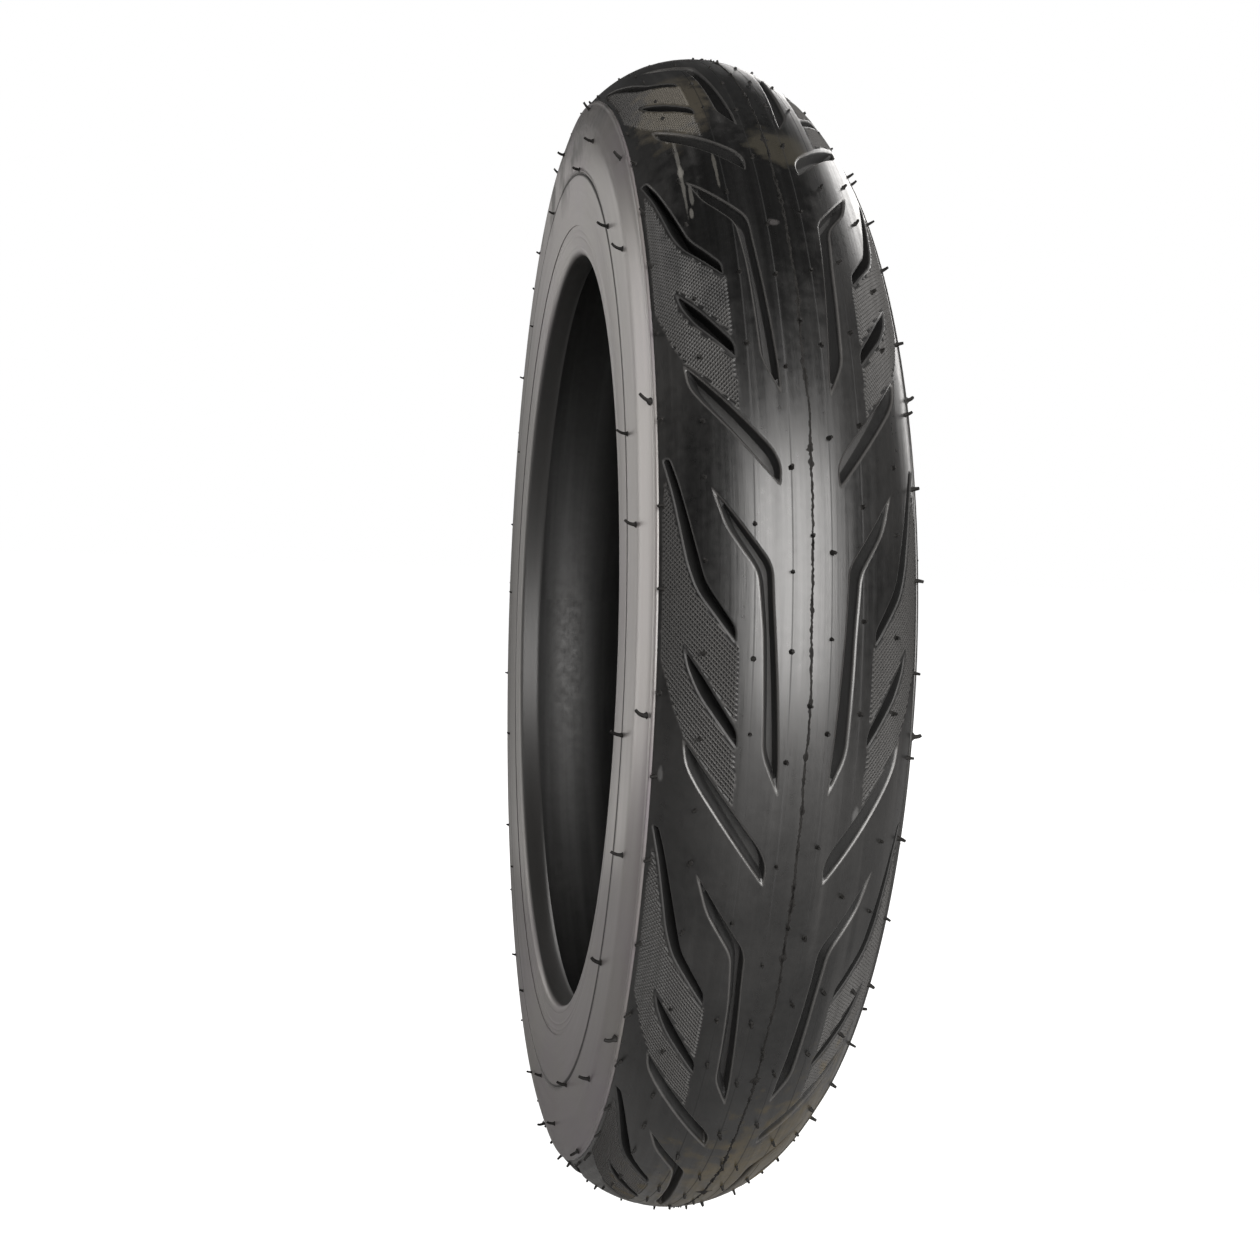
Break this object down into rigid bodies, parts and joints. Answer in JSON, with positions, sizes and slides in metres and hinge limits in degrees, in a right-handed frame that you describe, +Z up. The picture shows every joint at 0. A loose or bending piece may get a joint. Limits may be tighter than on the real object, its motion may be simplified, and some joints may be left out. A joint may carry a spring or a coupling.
{
  "type": "motorcycle tyre",
  "caption": "Round-crowned motorcycle tyre off its rim, with a directional V-groove tread, vent spews, smooth sidewalls and wire beads.",
  "frame": {"origin": "wheel centre: on the axle line, midway between the two beads", "axes": "+Y along the axle from the left sidewall to the right, +Z up; the tread pattern's V shapes point down at the +X side"},
  "size_m": [0.523, 0.0988, 0.523],
  "materials": {
    "tread_rubber": "satin",
    "sidewall_rubber": "satin",
    "liner_rubber": "satin",
    "casing_rubber": "matte",
    "ply_fabric": "matte",
    "bead_steel": "satin"
  },
  "bodies": {
    "root": {"tread_cap": "tread_rubber", "tread_base": "casing_rubber", "breaker_ply_outer": "ply_fabric", "breaker_ply_inner": "ply_fabric", "breaker_edge_strip_left": "casing_rubber", "breaker_edge_strip_right": "casing_rubber", "parting_line_flash": "tread_rubber", "carcass_ply_outer": "ply_fabric", "carcass_ply_inner": "ply_fabric", "inner_liner": "liner_rubber", "sidewall_left": "sidewall_rubber", "bead_wires_left": "bead_steel", "bead_insulation_left": "casing_rubber", "bead_wrap_left": "ply_fabric", "bead_filler_left": "casing_rubber", "chafer_left": "ply_fabric", "rim_strip_left": "sidewall_rubber", "sidewall_vent_spews_left": "sidewall_rubber", "sidewall_right": "sidewall_rubber", "bead_wires_right": "bead_steel", "bead_insulation_right": "casing_rubber", "bead_wrap_right": "ply_fabric", "bead_filler_right": "casing_rubber", "chafer_right": "ply_fabric", "rim_strip_right": "sidewall_rubber", "sidewall_vent_spews_right": "sidewall_rubber", "tread_vent_spews": "tread_rubber"}
  },
  "joints": []
}
